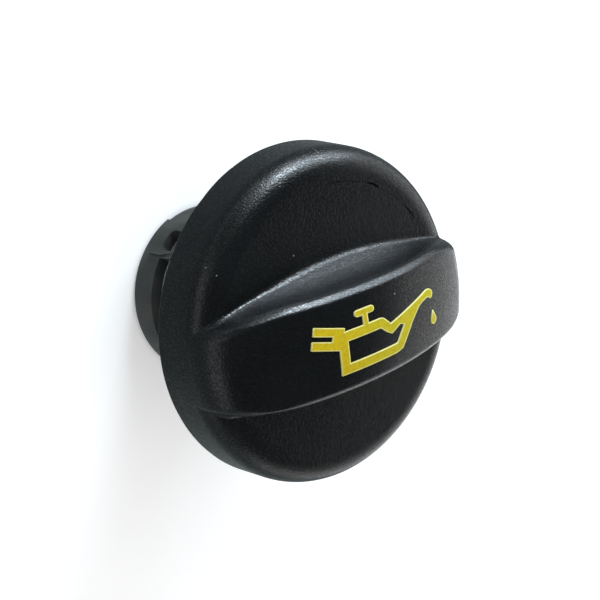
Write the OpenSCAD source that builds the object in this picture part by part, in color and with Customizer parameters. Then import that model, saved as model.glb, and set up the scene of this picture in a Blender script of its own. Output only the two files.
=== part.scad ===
// Quarter-turn oil filler cap: a moulded grip head over a hollow bayonet plug with a rubber seal.
// It stands on the open end of its plug, with Z along its axis and X along its grip bar.

/* [Head] */
// Diameter of the skirt's rear edge
head_d = 60; // [56:0.5:64]
// Height of the crown above the skirt's rear edge
head_h = 20.7; // [19:0.1:22.5]
// Radius that the skirt loses on its way up to the shoulder
skirt_draft = 0.5; // [0.2:0.1:1]
// Radius of the crown's wide dome
crown_r = 60; // [54:1:68]
// Radius of the shoulder under the bar's ends
shoulder_r = 9; // [7.5:0.5:11]
// Wall of the moulded head
head_wall = 2.4; // [1.8:0.1:3]

/* [Finger scoops] */
// Height of the scoops' flat floor above the skirt's rear edge
floor_h = 10.9; // [10:0.1:12]
// Rounding between the scoop floor and the skirt
floor_round = 4.8; // [3.5:0.1:6]

/* [Grip bar] */
// Width of the bar just under its rounded edges
bar_w = 17.4; // [15:0.2:19]
// Rounding of the bar's long edges
bar_edge_r = 2.3; // [1.5:0.1:2.8]
// Width of the bar's foot on the scoop floor at mid length
foot_w = 22.8; // [21:0.2:23.2]
// Height of the sloped cove at the bar's foot
cove_h = 4.2; // [3:0.1:4.8]
// Width of the lens in plan that narrows the bar, at mid length
lens_w = 24; // [23.6:0.2:25]
// Width of that lens where the bar runs into the shoulder
lens_end_w = 15.4; // [14:0.2:17]
// Draft angle of the lens's sides
lens_draft = 8; // [4:1:12]

/* [Plug] */
// Outer diameter of the plug
plug_d = 34; // [31:0.2:36]
// Length of the plug below the skirt's rear edge
plug_reach = 28.8; // [27:0.1:32]
// Wall of the plug's tube
plug_wall = 2.2; // [1.8:0.1:2.6]
// Diameter of the flange that seats in the head
flange_d = 46; // [44:0.5:48]
// Thickness of the flange
flange_t = 2.2; // [1.8:0.1:3]
// Diameter of the band that centres the cap in the filler neck
pilot_d = 35.2; // [34.2:0.2:37]
// Height above the plug's end where that band starts
pilot_from = 14.5; // [14:0.5:18]
// Chamfer on the plug's open end
plug_chamfer = 0.5; // [0.3:0.1:0.8]

/* [Bayonet] */
// Angle at which the entry slot starts
entry_from = 58; // [54:1:62]
// Angular width of the entry slot
entry_sweep = 22; // [18:1:24]
// Angle at which the lock pocket starts
pocket_from = 121; // [118:1:124]
// Angular width of the lock pocket
pocket_sweep = 15; // [13:1:16]
// Angle at which the relief slit starts, past the stop rib
slit_from = 141.5; // [141:0.5:145]
// Angular width of the relief slit
slit_sweep = 56; // [46:1:60]
// Height of the end collar below the relief slit
collar_h = 6.3; // [5.6:0.1:7]
// Height at which the lock pocket ends above the plug's end
pocket_h = 5.1; // [4.4:0.1:5.4]
// Height of the ramp that a lug climbs, above the plug's end
ramp_h = 8.2; // [7.5:0.1:9]
// Height of the channel's upper edge above the plug's end
channel_top = 13; // [12:0.1:14]
// Corner radius of the lock pocket
pocket_r = 1.2; // [0.6:0.1:1.4]
// How far the lead-in flat lies under the plug's surface
lead_depth = 0.6; // [0.3:0.1:0.8]
// Angle at which the lead-in flat ends
lead_to = 113; // [108:1:116]

/* [Stop rib] */
// Angle from the lock pocket's far side to the middle of the stop rib
rib_past = 2.2; // [2:0.1:2.8]
// Height of the stop rib's high side over the plug's surface
rib_h = 0.5; // [0.3:0.1:0.6]
// Width of the stop rib
rib_w = 1.2; // [0.8:0.1:1.4]
// Height above the plug's end where the rib's point lies
rib_from = 2.6; // [1.5:0.1:3]
// How much further up the rib's low side starts
rib_slant = 2.2; // [1:0.1:3]
// Length of the rib's high side
rib_run = 3.9; // [3:0.1:4.5]
// Width of the slanted lip between the rib and the relief slit
lip_w = 0.5; // [0.3:0.1:0.6]

/* [Seal] */
// Outer diameter of the rubber ring
seal_d = 44.6; // [42:0.2:45]
// Thickness of the rubber ring
seal_t = 3; // [2.4:0.1:3.6]
// Rounding of the ring's outer and inner edges
seal_round = 0.8; // [0.4:0.1:1]
// How far the ring's seat lies under the centring band, which keeps the ring on
seat_depth = 0.4; // [0.2:0.1:0.6]
// Gap between the rubber ring and the bottom of its seat
seal_gap = 0.15; // [0.1:0.05:0.3]
// Gap between the ring's lower face and the band's upper edge
seat_gap = 0.3; // [0.2:0.1:0.6]

/* [Centring ring] */
// Wall of the ring in the head that centres the flange
centring_wall = 1.8; // [1.4:0.1:2.4]
// Gap between the flange and the centring ring
centring_gap = 0.1; // [0.05:0.05:0.2]

/* [Oil can sign] */
// Depth of the sign's pockets in the crown
sign_depth = 0.5; // [0.3:0.1:0.8]
// How far the yellow fill stands over the crown
sign_rise = 0.15; // [0.05:0.05:0.3]
// Width of the sign's lines
line_w = 1.7; // [1.3:0.1:1.8]
// Length of the can's body along its base
can_base = 13.4; // [12.4:0.2:14]
// Height of the can's body
can_h = 7.2; // [6.6:0.1:7.6]

/* [Hidden] */
$fn = 96;

rim_z = plug_reach;
floor_z = rim_z + floor_h;
crown_z = rim_z + head_h;
dome_z = crown_z - crown_r;
head_r = head_d / 2;
skirt_r = head_r - skirt_draft;
under_z = floor_z - head_wall;
plug_r = plug_d / 2;
bore_r = plug_r - plug_wall;
pilot_r = pilot_d / 2;
seat_r = pilot_r - seat_depth;
flange_z = under_z - flange_t;
seal_z = flange_z - seal_t;
side_turns = [0, 180];

// points on an arc about c, from angle a to angle b in n steps
function arc(c, r, a, b, n) = [for (i = [0:n]) c + r * [cos(a + (b - a) * i / n), sin(a + (b - a) * i / n)]];

// The dome's outline from the rim to the axis, moved inwards by inset.
// Its shoulder arc runs out just short of the point where it would touch the crown's sphere.
module dome(inset) {
    sr = shoulder_r - inset;
    sx = skirt_r - shoulder_r;
    cr = crown_r - shoulder_r;
    sz = dome_z + sqrt(cr * cr - sx * sx);
    touch = acos(sx / cr);
    last = touch - 4;
    reach = crown_r / 4;
    run_out = [sx, sz] + sr * [cos(last), sin(last)] + reach * [-sin(last), cos(last)];
    intersection() {
        rotate_extrude()
            polygon(concat(
                [[0, rim_z], [head_r - inset, rim_z]],
                arc([sx, sz], sr, 0, last, 10),
                [run_out, [0, run_out[1] + reach / 4]]));
        translate([0, 0, dome_z]) sphere(r = crown_r - inset, $fn = 200);
    }
}

// The bar as a slice of a wide wheel about the crown's centre, so its edges follow the crown.
module bar_wheel(inset) {
    half = bar_w / 2 - inset;
    er = max(bar_edge_r - inset, 0.5);
    outer = crown_r - inset;
    ec = [sqrt(pow(outer - er, 2) - pow(half - er, 2)), half - er];
    start = 16;
    tip = ec + er * [cos(start), sin(start)] + half / 2 * [sin(start), -cos(start)];
    foot_half = foot_w / 2 - inset;
    foot_at = floor_z - dome_z;
    knee_at = foot_at + cove_h;
    foot_slope = (foot_half - half) / cove_h;
    low = 8;
    side = concat([tip], arc(ec, er, start, 90, 7),
        [[knee_at, half], [foot_at, foot_half], [foot_at - low, foot_half + low * foot_slope]]);
    mirrored = [for (i = [len(side) - 1:-1:0]) [side[i][0], -side[i][1]]];
    translate([0, 0, dome_z]) rotate([90, 0, 0]) rotate_extrude($fn = 200)
        polygon(concat(side, mirrored));
}

// The lens in plan that narrows the bar towards its ends: two wide cones that cross
module bar_lens(inset) {
    reach = skirt_r - shoulder_r / 2;
    sag = (lens_w - lens_end_w) / 2;
    bow_r = (reach * reach + sag * sag) / (2 * sag);
    side_h = crown_r;
    low = 10;
    side_r = bow_r - inset + low * tan(lens_draft);
    intersection_for(side = [-1, 1])
        translate([0, side * (bow_r - lens_w / 2), floor_z - low])
            cylinder(r1 = side_r, r2 = side_r - side_h * tan(lens_draft), h = side_h, $fn = 300);
}

module bar(inset) {
    intersection() {
        bar_wheel(inset);
        bar_lens(inset);
    }
}

// The head's low disc: flat scoop floor, rounded into the skirt.
module low_disc() {
    fc = [skirt_r - floor_round, floor_z - floor_round];
    beyond = head_r + 3;
    rotate_extrude()
        polygon(concat([[0, rim_z - 1], [beyond, rim_z - 1], [beyond, fc[1] - 1]],
            arc(fc, floor_round, 8, 90, 8), [[0, floor_z]]));
}

module underside() {
    inner = skirt_r - head_wall;
    rotate_extrude()
        polygon(concat([[0, rim_z - 1], [inner + 0.4, rim_z - 1]],
            arc([inner - 2, under_z - 2], 2, 0, 90, 4), [[0, under_z]]));
}

module centring_ring() {
    inner = flange_d / 2 + centring_gap;
    translate([0, 0, flange_z]) rotate_extrude()
        translate([inner, 0]) square([centring_wall, flange_t + head_wall / 2]);
}

// Everything that lies in a thin layer at the crown, from below to above its surface
module crown_layer(below, above) {
    intersection() {
        translate([0, 0, dome_z]) difference() {
            sphere(r = crown_r + above, $fn = 200);
            sphere(r = crown_r - below, $fn = 200);
        }
        translate([0, 0, floor_z + head_wall]) linear_extrude(crown_z) children();
    }
}

// The can's outline: body, spout, handle and pump knob, drawn about the cap's axis
can_left = -9.3;
can_low = -4.85;
can_top = can_low + can_h;
can_right = can_left + can_base;

// A point of the sign, measured from the corner over the base's right end
function from_corner(x, y) = [can_right + x, can_top + y];

module can_outline() {
    polygon([
        [can_left, can_low], [can_right - 1.5, can_low], [can_right, can_low + 0.3],
        from_corner(3.1, -3), from_corner(5.1, -1.25), from_corner(6.1, -0.85),
        from_corner(8, -0.5), from_corner(8.7, -1.05), from_corner(9.25, -0.85),
        from_corner(9.55, -0.25), from_corner(9.3, 0.35), from_corner(8.7, 0.75),
        from_corner(7.8, 0.85), from_corner(-2.4, -1.65), from_corner(-3.9, -0.2),
        from_corner(-4.6, 0), [can_left + 0.8, can_top], [can_left, can_top - 1]]);
}

module can_window() {
    low = can_low + line_w;
    polygon([
        [can_left + line_w, low], [can_right - 1.2, low], from_corner(0.75, -2.9),
        from_corner(-0.25, -2.5), from_corner(-2.4, -1.75 - line_w),
        from_corner(-3.2, -1.35 - line_w), from_corner(-4.85, -line_w),
        [can_left + line_w, can_top - line_w]]);
}

module can_handle() {
    grip_h = 3.7;
    slot_h = 0.8;
    translate([can_left, can_top - 0.9]) rotate(-16.5) difference() {
        translate([-4.7, -grip_h / 2]) square([5.6, grip_h]);
        translate([-5, -slot_h / 2]) square([3.9, slot_h]);
    }
}

module can_knob() {
    stem_w = 1;
    bar_r = 0.55;
    bar_half = 1.5;
    knob_x = can_left + 5.65;
    rise = 2.15;
    translate([knob_x - stem_w / 2, can_top - 1]) square([stem_w, rise + 1]);
    translate([knob_x, can_top + rise])
        polygon(concat(arc([bar_half, 0], bar_r, -90, 90, 6), arc([-bar_half, 0], bar_r, 90, 270, 6)));
}

module can_shape() {
    difference() {
        can_outline();
        can_window();
    }
    can_handle();
    can_knob();
}

module drop_shape() {
    drop_r = 0.85;
    translate([can_right + 9.35, can_low + 2.1])
        polygon(concat([[-0.1, 1.8]], arc([0, 0], drop_r, 160, 380, 10)));
}

module grip_head() {
    color([0.16, 0.17, 0.18]) difference() {
        union() {
            difference() {
                intersection() {
                    dome(0);
                    union() {
                        low_disc();
                        bar(0);
                    }
                }
                underside();
                intersection() {
                    dome(head_wall);
                    bar(head_wall);
                }
            }
            centring_ring();
        }
        crown_layer(sign_depth, 1) {
            can_shape();
            drop_shape();
        }
    }
}

// A piece of ring between two radii, two angles and two heights
module sector(r0, r1, from, sweep, z0, z1) {
    rotate([0, 0, from]) rotate_extrude(angle = sweep)
        translate([r0, z0]) square([r1 - r0, z1 - z0]);
}

// An opening through the plug's wall
module window(from, sweep, z0, z1) {
    sector(bore_r - 1, plug_r + 1.5, from, sweep, z0, z1);
}

// The lug's way through the wall: a channel, with the entry slot and the lock pocket below it
module lug_way() {
    pocket_mid = pocket_from + pocket_sweep / 2;
    half = plug_r * sin(pocket_sweep / 2);
    corner = half - pocket_r;
    low = pocket_h + pocket_r;
    pocket_top = channel_top - pocket_r / 2;
    window(entry_from, pocket_mid - entry_from, ramp_h, channel_top);
    window(entry_from, entry_sweep, -1, (ramp_h + channel_top) / 2);
    rotate([0, 0, pocket_mid]) translate([bore_r / 2, 0, 0]) rotate([90, 0, 90])
        linear_extrude(plug_r) polygon(concat(
            [[half, pocket_top], [-half, pocket_top]],
            arc([-corner, low], pocket_r, 180, 270, 6), arc([corner, low], pocket_r, 270, 360, 6)));
}

// A wedge that stands on the web between the lock pocket and the relief slit.
// Its outline is drawn as [across the web, height], and it rises across the web from low to high.
module web_wedge(low, high, outline) {
    sunk = 0.1;
    root_r = plug_r - plug_wall / 2;
    intersection() {
        linear_extrude(pilot_from) polygon([[root_r, low], [plug_r - sunk, low],
            [plug_r + rib_h, high], [root_r, high]]);
        rotate([90, 0, 90]) linear_extrude(plug_r + plug_wall) polygon(outline);
    }
}

// The pointed stop rib and the slanted lip beside it
module stop_rib() {
    rib_side = rib_w / 2;
    rib_end = rib_from + rib_run;
    lip_side = rib_side + lip_w;
    lean = rib_w * 3;
    rotate([0, 0, pocket_from + pocket_sweep + rib_past]) {
        web_wedge(-rib_side, rib_side, [[rib_side, rib_from], [-rib_side, rib_from + rib_slant],
            [-rib_side, rib_end + lean], [rib_side, rib_end]]);
        web_wedge(rib_side - rib_w, lip_side, [[lip_side, rib_end], [lip_side - rib_side, rib_end + lean],
            [lip_side, rib_end + lean]]);
    }
}

module plug_body() {
    rotate_extrude() polygon([
        [0, flange_z], [bore_r, flange_z], [bore_r, plug_chamfer], [bore_r + plug_chamfer, 0],
        [plug_r - plug_chamfer, 0], [plug_r, plug_chamfer], [plug_r, pilot_from],
        [pilot_r, pilot_from + pilot_r - plug_r], [pilot_r, seal_z - seat_gap],
        [seat_r, seal_z - seat_gap], [seat_r, flange_z],
        [flange_d / 2, flange_z], [flange_d / 2, under_z], [0, under_z]]);
}

module bayonet_plug() {
    color([0.3, 0.3, 0.3]) difference() {
        union() {
            plug_body();
            for (t = side_turns) rotate([0, 0, t]) stop_rib();
        }
        for (t = side_turns) rotate([0, 0, t]) {
            lug_way();
            window(slit_from, slit_sweep, collar_h, channel_top);
            sector(plug_r - lead_depth, plug_r + 1, entry_from + entry_sweep / 2,
                lead_to - entry_from - entry_sweep / 2, -1, (ramp_h + channel_top) / 2);
        }
    }
}

module sealing_ring() {
    r0 = seat_r + seal_gap;
    r1 = seal_d / 2;
    color([0.08, 0.08, 0.08]) rotate_extrude() polygon(concat(
        [[r0, flange_z]],
        arc([r0 + seal_round, seal_z + seal_round], seal_round, 180, 270, 4),
        arc([r1 - seal_round, seal_z + seal_round], seal_round, 270, 360, 4),
        [[r1, flange_z]]));
}

module oil_can_sign() {
    color([0.85, 0.78, 0.15]) crown_layer(sign_depth, sign_rise) can_shape();
}

module oil_drop_sign() {
    color([0.85, 0.78, 0.15]) crown_layer(sign_depth, sign_rise) drop_shape();
}

grip_head();
bayonet_plug();
sealing_ring();
oil_can_sign();
oil_drop_sign();
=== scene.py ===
import bpy
import math
import numpy as np
from mathutils import Matrix, Vector


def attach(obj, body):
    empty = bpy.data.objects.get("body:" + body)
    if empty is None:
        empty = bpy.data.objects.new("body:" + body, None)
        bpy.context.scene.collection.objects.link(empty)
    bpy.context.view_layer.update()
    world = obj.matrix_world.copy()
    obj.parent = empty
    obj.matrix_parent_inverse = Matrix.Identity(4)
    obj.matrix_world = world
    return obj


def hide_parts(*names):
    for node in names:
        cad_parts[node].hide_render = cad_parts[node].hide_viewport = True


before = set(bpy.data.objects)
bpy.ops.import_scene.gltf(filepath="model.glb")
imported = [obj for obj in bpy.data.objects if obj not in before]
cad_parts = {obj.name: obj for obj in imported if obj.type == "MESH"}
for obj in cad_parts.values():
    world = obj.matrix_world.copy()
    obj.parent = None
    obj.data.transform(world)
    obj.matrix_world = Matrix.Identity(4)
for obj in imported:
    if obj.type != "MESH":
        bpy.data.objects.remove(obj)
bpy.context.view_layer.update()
mm = 0.001
print("frame loaded")

# Sizes of the moulded head, in mm. The draft makes the wall touch the scoop floor's rounding, and the
# shoulder sits 0.12 mm further in than in the part's source, so that the wall touches it too.
headSizes = {
    "rimRadius": 30.0, "rimHeight": 28.8, "draft": math.radians(4.54462), "rimRound": 0.35,
    "shoulderAt": (20.3793, 36.2513), "shoulderRound": 9.0,
    "crownRadius": 60.0, "crownCentre": -10.5,
    "floorHeight": 39.7, "floorRoundAt": (24.7, 34.9), "floorRound": 4.8,
    "wall": 2.4, "heart": (0.0, 0.0, 31.0), "sharp": math.radians(40),
}
barSizes = {
    "half": 8.7, "flankDraft": 0.05, "flankTop": 57.3, "kneeAt": 54.4, "footAt": 50.2, "footHalf": 11.4,
    "bandMiddle": (58.883, 8.109), "bandTilt": math.radians(48), "bandBulge": 6.0, "bandReach": 3,
    "creaseRound": 0.2, "flankRound": 0.3, "kneeRound": 1.0,
    "footRound": 0.9, "footLeast": 0.02, "footEndsOut": (26.5, 29), "footEndsDown": (35, 38),
    "lensBow": 74.82, "lensHalf": 12.0, "lensDraft": math.radians(8), "lensRound": 1.2,
}

# The hidden hollows under the head, and the ring that centres the plug
hollowSizes = {
    "skirtLoss": 0.5, "flare": 0.4, "below": 1, "round": 2, "steps": 6, "flatTo": 20.0,
    "barHeart": (0, 0, 40), "barCuts": 24, "barPasses": 1, "barBelow": 0.3,
    "ringInner": 23.1, "ringOuter": 24.9, "ringFoot": 35.1, "ringTop": 38.5,
}
signSizes = {
    "gap": 0.14, "thick": 0.66, "rim": 0.16, "dish": 0.05, "pocketTop": 1, "level": 0.8, "sharpest": 0.35,
}

# How finely the skin is cut: longest and shortest edges in mm, and the turn that asks for a finer cut
meshSizes = {
    "cuts": 63, "passes": 3, "turn": math.radians(9), "shortest": 0.13, "longest": 0.8, "rimBand": 0.05,
    "reach": 48.0, "halvings": 34, "step": 0.004, "rounds": 4, "firstRounds": 2, "steepest": 0.05,
    "sides": 180, "merge": 0.002, "sliver": 0.001, "onSkin": 0.01, "facing": 0.6,
}


def roundUnion(a, b, radius):
    corner = np.hypot(np.maximum(radius - a, 0), np.maximum(radius - b, 0))
    return np.maximum(radius, np.minimum(a, b)) - corner


def roundCommon(a, b, radius):
    corner = np.hypot(np.maximum(radius + a, 0), np.maximum(radius + b, 0))
    return np.minimum(-radius, np.maximum(a, b)) + corner


# 0 up to low, 1 from high on, smooth between
def fade(value, low, high):
    t = np.clip((value - low) / (high - low), 0, 1)
    return t * t * (3 - 2 * t)


# Wall line and top, joined by an arc that runs from the wall's draft to the angle touch
def rounded(r, z, wall, top, at, radius, touch):
    out = r - at[0]
    up = z - at[1]
    overWall = up > out * math.tan(headSizes["draft"])
    underTop = up * math.cos(touch) < out * math.sin(touch)
    onArc = (out > 0) & overWall & underTop
    return np.where(onArc, np.hypot(out, up) - radius, np.maximum(wall, top))


# How far each point lies outside the head's outer skin, in mm
def headSurface(p):
    h = headSizes
    x, y, z = p.T
    r = np.hypot(x, y)
    wall = (r - h["rimRadius"] + (z - h["rimHeight"]) * math.tan(h["draft"])) * math.cos(h["draft"])
    sphere = np.sqrt(r * r + (z - h["crownCentre"]) ** 2) - h["crownRadius"]
    touch = math.acos(h["shoulderAt"][0] / (h["crownRadius"] - h["shoulderRound"]))
    dome = rounded(r, z, wall, sphere, h["shoulderAt"], h["shoulderRound"], touch)
    disc = rounded(r, z, wall, z - h["floorHeight"], h["floorRoundAt"], h["floorRound"], math.pi / 2)
    body = roundUnion(disc, bar(x, y, z, dome), footBlend(r, z))
    return roundCommon(body, h["rimHeight"] - z, h["rimRound"])


# The rounding at the bar's foot, which runs out towards the rim
def footBlend(r, z):
    b = barSizes
    return b["footLeast"] + b["footRound"] * (1 - fade(r, *b["footEndsOut"])) * fade(z, *b["footEndsDown"])


# The grip bar: crown, edge band, flank with its knee, and the lens that narrows the bar in plan
def bar(x, y, z, dome):
    b = barSizes
    across = np.abs(y)
    wheel = np.hypot(x, z - headSizes["crownCentre"])
    cosTilt = math.cos(b["bandTilt"])
    sinTilt = math.sin(b["bandTilt"])
    fromMiddle = across - b["bandMiddle"][1]
    overMiddle = wheel - b["bandMiddle"][0]
    along = fromMiddle * cosTilt - overMiddle * sinTilt
    bulge = np.minimum(along * along, b["bandReach"] ** 2) / (2 * b["bandBulge"])
    band = overMiddle * cosTilt + fromMiddle * sinTilt + bulge
    flank = across - b["half"] - (b["flankTop"] - wheel) * b["flankDraft"]
    rise = b["kneeAt"] - b["footAt"]
    run = b["footHalf"] - b["half"]
    slope = ((across - b["half"]) * rise + (wheel - b["kneeAt"]) * run) / math.hypot(rise, run)
    bow = np.hypot(x, across + (b["lensBow"] - b["lensHalf"])) - b["lensBow"]
    lens = (bow + (z - headSizes["floorHeight"]) * math.tan(b["lensDraft"])) * math.cos(b["lensDraft"])
    body = roundCommon(dome, band, b["creaseRound"])
    body = roundCommon(body, roundUnion(flank, slope, b["kneeRound"]), b["flankRound"])
    return roundCommon(body, lens, b["lensRound"])


# The hollow inside the bar: the bar's own form, one wall further in
def cavitySurface(p):
    h = headSizes
    b = barSizes
    w = h["wall"]
    x, y, z = p.T
    across = np.abs(y)
    wheel = np.hypot(x, z - h["crownCentre"])
    r = np.hypot(x, y)
    sphere = np.sqrt(r * r + (z - h["crownCentre"]) ** 2) - h["crownRadius"] + w
    arcPart = np.hypot(r - h["shoulderAt"][0], z - h["shoulderAt"][1]) - h["shoulderRound"] + w
    shoulder = np.where(r > h["shoulderAt"][0], arcPart, sphere)
    rise = b["kneeAt"] - b["footAt"]
    run = b["footHalf"] - b["half"]
    slope = ((across - b["half"] + w) * rise + (wheel - b["kneeAt"]) * run) / math.hypot(rise, run)
    sides = np.minimum(across - b["half"] + w, slope)
    bow = np.hypot(x, across + b["lensBow"] - b["lensHalf"]) - b["lensBow"] + w
    lens = bow + (z - h["floorHeight"]) * math.tan(b["lensDraft"])
    bottom = h["floorHeight"] - w - hollowSizes["barBelow"] - z
    return np.maximum.reduce([sphere, shoulder, sides, lens, bottom])


# Which way a form grows at each point, and how fast
def slopeOf(surface, p):
    step = meshSizes["step"]
    grown = [surface(p + step * axis) - surface(p - step * axis) for axis in np.eye(3)]
    return np.stack(grown, 1) / (2 * step)


# Moves points the short way onto the surface
def settle(surface, p, rounds):
    for _ in range(rounds):
        g = slopeOf(surface, p)
        p = p - g * (surface(p) / np.maximum((g * g).sum(1), meshSizes["steepest"]))[:, None]
    return p


# The point where each ray from the heart leaves the form
def cast(surface, heart, ways):
    near = np.zeros(len(ways))
    far = np.full(len(ways), meshSizes["reach"])
    for _ in range(meshSizes["halvings"]):
        middle = (near + far) / 2
        inside = surface(heart + ways * middle[:, None]) < 0
        near = np.where(inside, middle, near)
        far = np.where(inside, far, middle)
    return heart + ways * near[:, None]


def points(piece):
    co = np.empty(len(piece.data.vertices) * 3)
    piece.data.vertices.foreach_get("co", co)
    return co.reshape(-1, 3) / mm


def place(piece, p):
    piece.data.vertices.foreach_set("co", (p * mm).ravel())
    piece.data.update()


def edgeEnds(mesh):
    ends = np.empty(len(mesh.edges) * 2, int)
    mesh.edges.foreach_get("vertices", ends)
    return ends.reshape(-1, 2)


def alone(piece):
    bpy.ops.object.select_all(action="DESELECT")
    piece.select_set(True)
    bpy.context.view_layer.objects.active = piece


def editing(piece, mode="VERT"):
    alone(piece)
    bpy.context.tool_settings.mesh_select_mode = (mode == "VERT", mode == "EDGE", mode == "FACE")
    bpy.ops.object.mode_set(mode="EDIT")


def editingAll(piece, mode="VERT"):
    editing(piece, mode)
    bpy.ops.mesh.select_all(action="SELECT")


def done():
    bpy.ops.object.mode_set(mode="OBJECT")


# Selects only the picked vertices, edges or polygons, in object mode
def choose(piece, picked, kind):
    mesh = piece.data
    for each in ("vertices", "edges", "polygons"):
        items = getattr(mesh, each)
        items.foreach_set("select", picked if each == kind else np.zeros(len(items), bool))
    if kind == "edges":
        flags = np.zeros(len(mesh.vertices), bool)
        flags[edgeEnds(mesh)[picked].ravel()] = True
        mesh.vertices.foreach_set("select", flags)


# A block cut into squares, drawn out onto the surface and cut finer where the surface turns
def blockOnto(name, surface, heart, cuts, passes):
    m = meshSizes
    bpy.ops.object.select_all(action="DESELECT")
    bpy.ops.mesh.primitive_cube_add(size=2)
    piece = bpy.context.object
    piece.name = piece.data.name = name
    editingAll(piece)
    bpy.ops.mesh.subdivide(number_cuts=cuts)
    done()
    ways = np.tan(points(piece) * mm * math.pi / 4)
    ways /= np.linalg.norm(ways, axis=1)[:, None]
    place(piece, settle(surface, cast(surface, np.array(heart), ways), m["firstRounds"]))
    for _ in range(passes):
        p = points(piece)
        a, b = edgeEnds(piece.data).T
        n = slopeOf(surface, p)
        n /= np.linalg.norm(n, axis=1)[:, None]
        length = np.linalg.norm(p[a] - p[b], axis=1)
        turn = np.arccos(np.clip((n[a] * n[b]).sum(1), -1, 1))
        onRim = np.maximum(p[a, 2], p[b, 2]) < headSizes["rimHeight"] + m["rimBand"]  # flat, so left coarse
        tooBent = (turn > m["turn"]) & (length > 2 * m["shortest"])
        choose(piece, ((length > m["longest"]) | tooBent) & ~onRim, "edges")
        editing(piece, "EDGE")
        bpy.ops.mesh.subdivide(number_cuts=1, ngon=False)
        done()
        place(piece, settle(surface, points(piece), m["rounds"]))
    return piece


# A circle drawn along a profile of (radius, height) by extrude and scale. A closed profile makes a ring,
# an open one makes a block with flat ends.
def turned(name, profile, closed=False):
    bpy.ops.object.select_all(action="DESELECT")
    radius, height = profile[0]
    bpy.ops.mesh.primitive_circle_add(vertices=meshSizes["sides"], radius=radius * mm,
                                      location=(0, 0, height * mm), fill_type="NOTHING" if closed else "NGON")
    piece = bpy.context.object
    piece.name = piece.data.name = name
    bpy.ops.object.transform_apply(location=True, rotation=True, scale=True)
    editingAll(piece, "EDGE")
    for r, z in profile[1:] + (profile[:1] if closed else []):
        if closed:
            bpy.ops.mesh.extrude_edges_move()
        else:
            bpy.ops.mesh.extrude_region_move()
        bpy.ops.transform.translate(value=(0, 0, (z - height) * mm))
        bpy.ops.transform.resize(value=(r / radius, r / radius, 1), center_override=(0, 0, z * mm))
        radius = r
        height = z
    bpy.ops.mesh.select_all(action="SELECT")
    bpy.ops.mesh.remove_doubles(threshold=meshSizes["merge"] * mm)
    bpy.ops.mesh.normals_make_consistent(inside=False)
    done()
    return piece


# Points of a quarter arc, from level to upright
def quarterArc(at, radius, steps):
    turns = [math.radians(90 * i / steps) for i in range(steps + 1)]
    return [(at[0] + radius * math.cos(t), at[1] + radius * math.sin(t)) for t in turns]


def combine(piece, tool, operation):
    alone(piece)
    cut = piece.modifiers.new(operation, "BOOLEAN")
    cut.object = tool
    cut.operation = operation
    cut.solver = "MANIFOLD"
    bpy.ops.object.modifier_apply(modifier=cut.name)
    bpy.data.objects.remove(tool)


# A CAD node's mesh as a piece of its own, merged
def nodeCopy(node, name):
    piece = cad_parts[node].copy()
    piece.data = piece.data.copy()
    piece.name = piece.data.name = name
    piece.parent = None
    for key in list(piece.keys()):
        del piece[key]
    bpy.context.scene.collection.objects.link(piece)
    editingAll(piece)
    bpy.ops.mesh.remove_doubles(threshold=meshSizes["merge"] * mm)
    done()
    if piece.data.has_custom_normals:
        bpy.ops.mesh.customdata_custom_splitnormals_clear()
    return piece


# The upper face of a sign's solid as a sheet, with the level way out of the yellow at each outline point
def topSheet(node, name):
    sheet = nodeCopy(node, name)
    choose(sheet, np.array([f.normal.z < signSizes["level"] for f in sheet.data.polygons]), "polygons")
    editing(sheet, "FACE")
    bpy.ops.mesh.delete(type="FACE")
    done()
    p = points(sheet)
    sides = set()
    for face in sheet.data.polygons:
        ids = list(face.vertices)
        sides |= set(zip(ids, ids[1:] + ids[:1]))
    normals = np.zeros((len(p), 2, 2))
    for a, b in sides:
        if (b, a) not in sides:
            along = (p[b] - p[a])[:2]
            normals[a, 1] = normals[b, 0] = np.array((along[1], -along[0])) / np.linalg.norm(along)
    meet = np.maximum(1 + (normals[:, 0] * normals[:, 1]).sum(1), signSizes["sharpest"])
    return sheet, dict(zip(map(spot, p), normals.sum(1) / meet[:, None]))


# A point's place in plan, as a key
def spot(point):
    return round(point[0], 3), round(point[1], 3)


# Moves the chosen points of a sheet outwards by so many mm, or inwards where it is negative
def widen(piece, ways, by, lift=0.0):
    chosen = np.array([v.select for v in piece.data.vertices])
    p = points(piece)
    for i in np.nonzero(chosen)[0]:
        p[i, :2] += by * ways[spot(p[i])]
        p[i, 2] += lift
    place(piece, p)


# Turns a sheet into a block: the sheet goes down by low and its new top comes up by high
def thicken(piece, low, high):
    editingAll(piece, "FACE")
    bpy.ops.transform.translate(value=(0, 0, -low * mm))
    bpy.ops.mesh.extrude_region_move(TRANSFORM_OT_translate={"value": (0, 0, high * mm)})


def outwards(piece):
    editingAll(piece)
    bpy.ops.mesh.normals_make_consistent(inside=False)
    done()


# The hollow underside with the hollow bar over it, less the ring that stays to centre the plug
def makeHollow():
    h = headSizes
    s = hollowSizes
    inner = h["rimRadius"] - s["skirtLoss"] - h["wall"]
    roof = h["floorHeight"] - h["wall"]
    corner = quarterArc((inner - s["round"], roof - s["round"]), s["round"], s["steps"])
    start = (inner + s["flare"], h["rimHeight"] - s["below"])
    hollow = turned("hollow", [start] + corner + [(s["flatTo"], roof)])
    cavity = blockOnto("bar_hollow", cavitySurface, s["barHeart"], s["barCuts"], s["barPasses"])
    combine(hollow, cavity, "UNION")
    ring = turned("ring", [(s["ringInner"], s["ringFoot"]), (s["ringOuter"], s["ringFoot"]),
                           (s["ringOuter"], s["ringTop"]), (s["ringInner"], s["ringTop"])], True)
    combine(hollow, ring, "DIFFERENCE")
    return hollow


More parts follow.
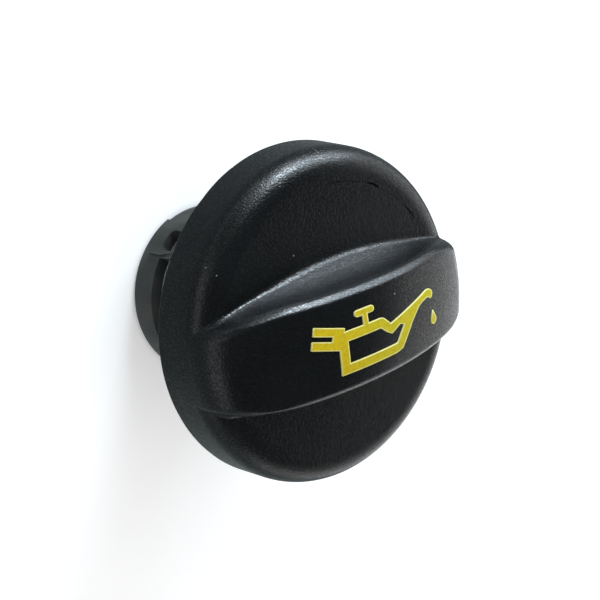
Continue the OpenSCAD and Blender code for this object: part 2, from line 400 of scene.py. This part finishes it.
# The head: outer skin, hollows and sign pockets
def makeHead():
    made = blockOnto("cap_head", headSurface, headSizes["heart"], meshSizes["cuts"], meshSizes["passes"])
    print("outer skin:", len(made.data.polygons), "faces")
    combine(made, makeHollow(), "DIFFERENCE")
    for node in ("oil_can_sign", "oil_drop_sign"):
        pocket, ways = topSheet(node, "pocket")
        choose(pocket, np.ones(len(pocket.data.vertices), bool), "vertices")
        widen(pocket, ways, signSizes["gap"])
        thicken(pocket, signSizes["thick"], signSizes["thick"] + signSizes["pocketTop"])
        done()
        outwards(pocket)
        combine(made, pocket, "DIFFERENCE")
    editingAll(made)
    bpy.ops.mesh.remove_doubles(threshold=meshSizes["sliver"] * mm)  # the cuts leave slivers of no area
    bpy.ops.mesh.dissolve_degenerate(threshold=meshSizes["sliver"] * mm)
    done()
    alone(made)
    bpy.ops.object.shade_smooth_by_angle(angle=headSizes["sharp"])
    skinNormals(made)
    print("head:", len(made.data.polygons), "faces")
    return made


# Shading normals of the outer skin, taken from its own form
def skinNormals(piece):
    mesh = piece.data
    p = points(piece)
    skin = np.abs(headSurface(p)) < meshSizes["onSkin"]
    n = slopeOf(headSurface, p)
    n /= np.maximum(np.linalg.norm(n, axis=1), 1e-9)[:, None]
    corners = np.zeros((len(mesh.loops), 3))
    for face in mesh.polygons:
        ids = list(face.vertices)
        if skin[ids].all() and (n[ids] @ np.array(face.normal)).min() > meshSizes["facing"]:
            corners[face.loop_start:face.loop_start + face.loop_total] = n[ids]
    mesh.normals_split_custom_set(corners)


# The yellow fill: a block whose face lies a little under its pale rim. The rim's pale colour is partly worn
# paint at the sign's edges and partly a painted highlight that those edges catch.
def makeSign(node, name):
    made, ways = topSheet(node, name)
    thicken(made, signSizes["thick"], signSizes["thick"])
    bpy.ops.mesh.extrude_region_move()
    done()
    widen(made, ways, -signSizes["rim"], -signSizes["dish"])
    editing(made, "FACE")
    bpy.ops.mesh.delete(type="FACE")
    bpy.context.tool_settings.mesh_select_mode = (False, True, False)
    bpy.ops.mesh.select_all(action="DESELECT")
    bpy.ops.mesh.select_non_manifold()
    bpy.ops.mesh.fill()
    done()
    face = np.array([f.select for f in made.data.polygons])
    outwards(made)
    print(name, len(made.data.polygons), "faces,", face.sum(), "on the flat")
    return made, face


head = makeHead()


# A socket's value in an expression, which adds the Math nodes
class Wire:
    def __init__(self, nodes, socket):
        self.nodes = nodes
        self.socket = socket

    def maths(self, operation, *others):
        inputs = dict(enumerate((self, *others)))
        return self.nodes.node("ShaderNodeMath", {"operation": operation}, inputs)

    def __add__(self, other):
        return self.maths("ADD", other)

    def __sub__(self, other):
        return self.maths("SUBTRACT", other)

    def __mul__(self, other):
        return self.maths("MULTIPLY", other)

    def __pow__(self, other):
        return self.maths("POWER", other)

    def __rsub__(self, other):
        return self.nodes.node("ShaderNodeMath", {"operation": "SUBTRACT"}, {0: other, 1: self})

    __radd__ = __add__
    __rmul__ = __mul__

    # 0 under low, 1 over high, smooth between
    def above(self, low, high):
        return self.nodes.node("ShaderNodeMapRange", {"interpolation_type": "SMOOTHSTEP"},
                               {"Value": self, "From Min": low, "From Max": high})

    def within(self, low, high, soft):
        return self.above(low - soft, low + soft) * (1 - self.above(high - soft, high + soft))


# A node tree, with one method that adds any node
class Nodes:
    def __init__(self, tree):
        self.tree = tree

    def node(self, kind, settings, sockets, output=0):
        new = self.tree.nodes.new(kind)
        for key, value in settings.items():
            setattr(new, key, value)
        for key, value in sockets.items():
            if isinstance(value, Wire):
                self.tree.links.new(value.socket, new.inputs[key])
            else:
                new.inputs[key].default_value = value
        if new.outputs:
            return Wire(self, new.outputs[output])

    # 1 for what the camera sees directly, in a reflection or through glass, 0 for the light on the object
    def seen(self):
        camera, glossy, through = (self.node("ShaderNodeLightPath", {}, {}, f"Is {kind} Ray")
                                   for kind in ("Camera", "Glossy", "Transmission"))
        return camera.maths("MAXIMUM", glossy.maths("MAXIMUM", through))


# A material with a Principled shader and short calls for what its finish needs
class Finish(Nodes):
    def __init__(self, name, **settings):
        self.material = bpy.data.materials.new(name)
        self.material.use_nodes = True
        super().__init__(self.material.node_tree)
        self.shader = self.tree.nodes["Principled BSDF"]
        for socket, value in settings.items():
            self.shader.inputs[socket.replace("_", " ")].default_value = value
        self.coords = self.node("ShaderNodeTexCoord", {}, {}, "Object")

    def feed(self, socket, wire):
        self.tree.links.new(wire.socket, self.shader.inputs[socket])

    # Noise with grains about size mm across
    def noise(self, size, detail=2.0, rough=0.5):
        return self.node("ShaderNodeTexNoise", {}, {"Vector": self.coords, "Scale": 1 / (size * mm),
                                                    "Detail": detail, "Roughness": rough})

    def blendColour(self, share, a, b):
        return self.node("ShaderNodeMix", {"data_type": "RGBA"}, {"Factor": share, 6: a, 7: b}, 2)

    # x, y and z in mm
    def axes(self):
        split = self.node("ShaderNodeSeparateXYZ", {}, {0: self.coords}).socket.node
        return [Wire(self, out) * (1 / mm) for out in split.outputs]

    # 1 within about size mm of a point, with an uneven edge
    def near(self, at, size):
        away = self.node("ShaderNodeVectorMath", {"operation": "DISTANCE"},
                         {0: self.coords, 1: [c * mm for c in at]}, 1) * (1 / mm)
        return 1 - (away + (self.noise(marks["edgeGrain"]) - 0.5) * size).above(size * marks["core"], size)

    # depth is the height of a value of 1, in mm
    def bump(self, height, depth):
        self.feed("Normal", self.node("ShaderNodeBump", {}, {"Height": height, "Strength": 1.0,
                                                             "Distance": depth * mm}))


# A colour given as 0 to 255 sRGB, as the linear colour that a socket takes
def linear(r, g, b):
    shares = [c / 255 for c in (r, g, b)]
    return tuple(((s + 0.055) / 1.055) ** 2.4 if s > 0.04045 else s / 12.92 for s in shares) + (1,)


blackPlastic = {
    "colour": (11, 13, 15), "worn": (20, 23, 25), "wornShare": 0.35, "cloud": 9.0, "cloudFrom": (0.35, 0.75),
    "gloss": 0.3, "rough": 0.24, "uneven": 0.1, "grain": 0.3, "depth": 0.08,
    "sparkle": 0.85, "sparkleRough": 0.2, "sparkleFrom": (0.48, 0.66),
    "barGrain": 0.8, "barHalf": 8.6, "barEdge": 0.3, "barFrom": (41, 42),
}

# Marks on the photographed cap, in mm: pale specks and nicks and a dark dot with their sizes, and one scratch
marks = {
    "pale": [((-8.69, 13.95, 39.7), 0.19), ((3.6, 5.18, 49.17), 0.19), ((-23.29, 14.77, 38.74), 0.13),
             ((-24.03, 16.05, 37.23), 0.13), ((-11.56, 26.11, 37.76), 0.15)],
    "dark": ((-18.57, -22.57, 36.51), 0.5), "edgeGrain": 0.4, "core": 0.6,
    "paleColour": (120, 124, 126), "paleShare": 0.9, "darkColour": (0.0005, 0.0005, 0.0005, 1),
}
scratch = {"x": (0.8, 0.92), "z": (36.5, 38.7), "beyond": (26.0, 27), "soft": (0.05, 0.1),
           "breaks": 0.5, "breaksFrom": (0.4, 0.5)}
witnessLine = {
    "thin": (23.5, 23.62), "wide": (23.4, 23.75), "soft": 0.08, "angle": (18, 93), "angleSoft": 2,
    "height": (39.2, 40.2), "heightSoft": 0.1, "cracks": ((34, 41), (60.5, 66.5)), "crackSoft": 1,
    "wander": 0.5, "wanderSize": 1.6, "breaks": 2.2, "breaksFrom": (0.36, 0.5), "strength": 0.7,
}


# The dark line round the scoop's floor, with two wider cracks in it: painted shade, near-black in place of
# the shade of a fine groove and its cracks
def witnessMask(f, x, y, z):
    w = witnessLine
    angle = y.maths("ARCTAN2", x) * (180 / math.pi)
    radius = (x * x + y * y) ** 0.5 + (f.noise(w["wanderSize"]) - 0.5) * w["wander"]
    cracks = sum((angle.within(*reach, w["crackSoft"]) for reach in w["cracks"]), 0)
    cracks = cracks * radius.within(*w["wide"], w["soft"])
    line = radius.within(*w["thin"], w["soft"]) * f.noise(w["breaks"]).above(*w["breaksFrom"]) * w["strength"]
    line = line.maths("MAXIMUM", cracks)
    return line * angle.within(*w["angle"], w["angleSoft"]) * z.within(*w["height"], w["heightSoft"])


def paleMask(f, x, y, z):
    s = scratch
    pale = x.within(*s["x"], s["soft"][0]) * z.within(*s["z"], s["soft"][1]) * y.above(*s["beyond"])
    pale = pale * f.noise(s["breaks"]).above(*s["breaksFrom"])
    for at, size in marks["pale"]:
        pale = pale.maths("MAXIMUM", f.near(at, size))
    return pale


def blackFinish():
    b = blackPlastic
    f = Finish("black spark-grained plastic", Specular_IOR_Level=b["gloss"], Coat_Roughness=b["sparkleRough"])
    x, y, z = f.axes()
    cloud = f.noise(b["cloud"], 3.0)
    onBar = y.within(-b["barHalf"], b["barHalf"], b["barEdge"]) * z.above(*b["barFrom"])
    # Painted shade: the witness line and its cracks, joined by the near-black dot
    grooveShadeAndDot = witnessMask(f, x, y, z).maths("MAXIMUM", f.near(*marks["dark"]))
    worn = cloud.above(*b["cloudFrom"]) * b["wornShare"]
    skin = f.blendColour(worn, linear(*b["colour"]), linear(*b["worn"]))
    skin = f.blendColour(grooveShadeAndDot, skin, marks["darkColour"])
    pale = paleMask(f, x, y, z) * marks["paleShare"]
    f.feed("Base Color", f.blendColour(pale, skin, linear(*marks["paleColour"])))
    f.feed("Metallic", grooveShadeAndDot)  # takes the sheen away, so that the painted groove shade and the dark dot stay dark
    f.feed("Roughness", (cloud - 0.5) * b["uneven"] + b["rough"])
    sparkle = f.noise(b["grain"], 2.0, 0.7).above(*b["sparkleFrom"])
    f.feed("Coat Weight", sparkle * (1 - grooveShadeAndDot) * b["sparkle"])
    f.bump(f.noise(b["grain"], 1.0) * (1 - onBar * (1 - b["barGrain"])), b["depth"])
    return f.material


plugPlastic = {
    "colour": (52, 54, 54), "worn": (84, 83, 80), "wornShare": 0.4, "cloud": 6.0, "cloudFrom": (0.4, 0.75),
    "gloss": 0.5, "rough": 0.32, "uneven": 0.15, "grain": 0.3, "depth": 0.04,
}


def plugFinish():
    b = plugPlastic
    f = Finish("dark grey plastic", Specular_IOR_Level=b["gloss"])
    cloud = f.noise(b["cloud"], 3.0)
    worn = cloud.above(*b["cloudFrom"]) * b["wornShare"]
    f.feed("Base Color", f.blendColour(worn, linear(*b["colour"]), linear(*b["worn"])))
    f.feed("Roughness", b["rough"] + (cloud - 0.5) * b["uneven"])
    f.bump(f.noise(b["grain"], 3.0, 0.6), b["depth"])
    return f.material


sealRubber = {"colour": (24, 24, 24), "worn": (38, 37, 36), "cloud": 3.0, "gloss": 0.25, "rough": 0.6,
              "uneven": 0.2, "grain": 0.2, "depth": 0.01}


def rubberFinish():
    b = sealRubber
    f = Finish("black rubber", Specular_IOR_Level=b["gloss"])
    cloud = f.noise(b["cloud"], 3.0)
    f.feed("Base Color", f.blendColour(cloud, linear(*b["colour"]), linear(*b["worn"])))
    f.feed("Roughness", b["rough"] + (cloud - 0.5) * b["uneven"])
    f.bump(f.noise(b["grain"]), b["depth"])
    return f.material


# pale is the rim's colour: partly worn paint, partly a painted highlight along the sign's edges
yellow = {
    "colour": (196, 181, 28), "pale": (238, 234, 150), "golden": (214, 184, 8), "goldenEnds": (-11, 2),
    "flatShare": 0.8, "rimShare": 0.25, "shade": 0.8, "shadeShare": 0.45,
    "cloud": 0.6, "cloudFrom": (0.3, 0.8),
    "gloss": 0.2, "rough": 0.5, "uneven": 0.2, "grain": 0.25, "depth": 0.008,
}


# share is how much of the golden tone on the handle's side the finish takes
def yellowFinish(name, colour, share):
    b = yellow
    f = Finish(name, Specular_IOR_Level=b["gloss"])
    x = f.axes()[0]
    cloud = f.noise(b["cloud"], 3.0)
    tone = f.blendColour(x.above(*b["goldenEnds"]), linear(*b["golden"]), linear(*colour))
    tone = f.blendColour(share, linear(*colour), tone)
    shaded = linear(*[c * b["shade"] for c in colour])
    f.feed("Base Color", f.blendColour(cloud.above(*b["cloudFrom"]) * b["shadeShare"], tone, shaded))
    f.feed("Roughness", b["rough"] + (cloud - 0.5) * b["uneven"])
    f.bump(f.noise(b["grain"]), b["depth"])
    return f.material


black = blackFinish()
grey = plugFinish()
rubber = rubberFinish()
flatYellow = yellowFinish("yellow fill", yellow["colour"], yellow["flatShare"])
# The rim's pale colour: partly worn paint, partly a painted highlight along the sign's edges
rimWearAndHighlight = yellowFinish("rim of the fill, worn and with painted highlight", yellow["pale"], yellow["rimShare"])
print("materials made")


def finishPiece(piece, materials, node):
    piece.data.materials.clear()
    for material in materials:
        piece.data.materials.append(material)
    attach(piece, "root")
    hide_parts(node)


finishPiece(head, [black], "grip_head")
for node, name in (("oil_can_sign", "oil_can_fill"), ("oil_drop_sign", "oil_drop_fill")):
    sign, flat = makeSign(node, name)
    finishPiece(sign, [rimWearAndHighlight, flatYellow], node)
    sign.data.polygons.foreach_set("material_index", flat.astype(int))
    sign.data.update()

plugSizes = {"level": math.radians(0.5), "bevel": 0.12, "segments": 2, "sharp": math.radians(35)}


def makePlug():
    plug = nodeCopy("bayonet_plug", "twist_lock_plug")
    editingAll(plug, "FACE")
    bpy.ops.mesh.dissolve_limited(angle_limit=plugSizes["level"])
    done()
    alone(plug)
    soften = plug.modifiers.new("edges", "BEVEL")
    soften.width = plugSizes["bevel"] * mm
    soften.segments = plugSizes["segments"]
    soften.limit_method = "ANGLE"
    soften.angle_limit = plugSizes["sharp"]
    soften.use_clamp_overlap = True
    bpy.ops.object.modifier_apply(modifier=soften.name)
    bpy.ops.object.shade_smooth_by_angle(angle=plugSizes["sharp"])
    print("plug:", len(plug.data.polygons), "faces")
    return plug


finishPiece(makePlug(), [grey], "bayonet_plug")

sealSizes = {"sharp": math.radians(30)}


def makeSeal():
    seal = nodeCopy("sealing_ring", "rubber_seal")
    alone(seal)
    bpy.ops.object.shade_smooth_by_angle(angle=sealSizes["sharp"])
    return seal


finishPiece(makeSeal(), [rubber], "sealing_ring")
print("pieces placed")

# Floor, world, lamps and camera. Lengths are in mm, but the floor's side and the camera's clip distances
# are in metres.
stageSizes = {
    "floor": 8.0, "paper": (250, 250, 250), "paperShade": (246, 246, 246), "paperCloud": 40.0,
    "paperRough": 0.9, "paperGlow": 0.32, "plugEnds": (15.5, 18),
    "worldLight": 0.7, "lampsAway": 900, "lampsAim": (0, 0, 40),
}


def makeFloor():
    s = stageSizes
    bpy.ops.object.select_all(action="DESELECT")
    bpy.ops.mesh.primitive_plane_add(size=s["floor"])
    floor = bpy.context.object
    floor.name = "floor"
    paper = Finish("pale paper floor", Roughness=s["paperRough"], Specular_IOR_Level=0.0,
                   Emission_Strength=1.0)
    cloud = paper.noise(s["paperCloud"])
    paper.feed("Base Color", paper.blendColour(cloud, linear(*s["paper"]), linear(*s["paperShade"])))
    x, y = paper.axes()[:2]
    outside = ((x * x + y * y) ** 0.5).above(*s["plugEnds"])  # no glow inside the plug
    glow = (s["paperGlow"], s["paperGlow"], s["paperGlow"], 1)
    paper.feed("Emission Color", paper.blendColour(paper.seen() * outside, (0, 0, 0, 1), glow))
    paper.feed("Alpha", 1 - paper.node("ShaderNodeNewGeometry", {}, {}, "Backfacing"))  # clear from below
    floor.data.materials.append(paper.material)


# White where it is seen, and dimmer as light on the object
def makeWorld():
    world = bpy.data.worlds.new("studio")
    bpy.context.scene.world = world
    world.use_nodes = True
    sky = Nodes(world.node_tree)
    sky.tree.nodes.clear()
    strength = sky.node("ShaderNodeMapRange", {}, {"Value": sky.seen(), "To Min": stageSizes["worldLight"]})
    backdrop = sky.node("ShaderNodeBackground", {}, {"Color": (1, 1, 1, 1), "Strength": strength})
    sky.node("ShaderNodeOutputWorld", {}, {0: backdrop})


makeFloor()
makeWorld()

lamps = {
    "window": {"azimuth": 58, "elevation": 18, "glow": 7.5, "wide": 46, "tall": 24,
               "tint": (0.76, 0.9, 1.0)},
    "bright pane": {"azimuth": 70, "elevation": 21, "glow": 30.0, "wide": 12, "tall": 12,
                    "tint": (0.8, 0.92, 1.0)},
}


# An area lamp of wide by tall degrees as seen from the cap, where a glow of 1 is white
def lamp(name, azimuth, elevation, glow, wide, tall, tint):
    a = math.radians(azimuth)
    e = math.radians(elevation)
    away = stageSizes["lampsAway"]
    way = Vector((math.cos(a) * math.cos(e), math.sin(a) * math.cos(e), math.sin(e)))
    bpy.ops.object.light_add(type="AREA", location=(way * away + Vector(stageSizes["lampsAim"])) * mm)
    made = bpy.context.object
    made.name = name
    light = made.data
    light.shape = "RECTANGLE"
    light.size = 2 * away * mm * math.tan(math.radians(wide / 2))
    light.size_y = 2 * away * mm * math.tan(math.radians(tall / 2))
    light.energy = glow * math.pi * light.size * light.size_y
    light.color = tint
    made.rotation_mode = "QUATERNION"
    made.rotation_quaternion = (-way).to_track_quat("-Z", "Y")


for name, sizes in lamps.items():
    lamp(name, **sizes)

# Two opposite corners of each panel and how light it is, where 1 is white
panels = {
    "panel_overhead": ((-1500, -1500, 650), (760, 620, 650), 0.13),
    "panel_back": ((-1400, 1100, 0), (-260, 1100, 1100), 0.2),
    "panel_near": ((-1400, -1500, 20), (-250, -1500, 650), 0.3),
    "panel_table": ((-1400, -900, 0.5), (60, -20, 0.5), 0.3),
    "panel_table_far": ((-1400, -20, 0.5), (330, 360, 0.5), 0.26),
}
panelTint = (0.86, 0.98, 1)


# A dim studio panel that only reflections see, as a photographer's flag: level, or upright along x
def darkPanel(name, low, high, shade):
    bpy.ops.object.select_all(action="DESELECT")
    bpy.ops.mesh.primitive_plane_add(size=1)
    panel = bpy.context.object
    panel.name = name
    corners = [low, (high[0], low[1], low[2]), (low[0], high[1], high[2]), high]
    for v, at in zip(panel.data.vertices, corners):
        v.co = Vector(at) * mm
    tone = [shade * c for c in panelTint] + [1]
    dim = Finish(name, Base_Color=(0, 0, 0, 1), Specular_IOR_Level=0.0, Emission_Strength=1.0,
                 Emission_Color=tone)
    panel.data.materials.append(dim.material)
    panel.visible_camera = False
    panel.visible_diffuse = False
    panel.visible_shadow = False
    panel.visible_transmission = False


for name, (low, high, shade) in panels.items():
    darkPanel(name, low, high, shade)

# The photograph's view: place, lens and sensor in mm, directions as unit vectors, from and to in metres
cameraSizes = {
    "at": (-103.5, 55.8, 158.4), "right": (0.7479, -0.1287, 0.6513), "up": (0.2971, 0.9422, -0.1549),
    "ahead": (0.5937, -0.3094, -0.7429), "lens": 58.92, "sensor": 36, "from": 0.005, "to": 5,
}


def makeCamera():
    c = cameraSizes
    data = bpy.data.cameras.new("camera")
    data.lens = c["lens"]
    data.sensor_width = c["sensor"]
    data.clip_start = c["from"]
    data.clip_end = c["to"]
    camera = bpy.data.objects.new("camera", data)
    bpy.context.scene.collection.objects.link(camera)
    turn = Matrix((Vector(c["right"]), Vector(c["up"]), -Vector(c["ahead"]))).transposed().to_4x4()
    camera.matrix_world = Matrix.Translation(Vector(c["at"]) * mm) @ turn
    bpy.context.scene.camera = camera


makeCamera()
bpy.context.scene.view_settings.view_transform = "Standard"
print("stage set")
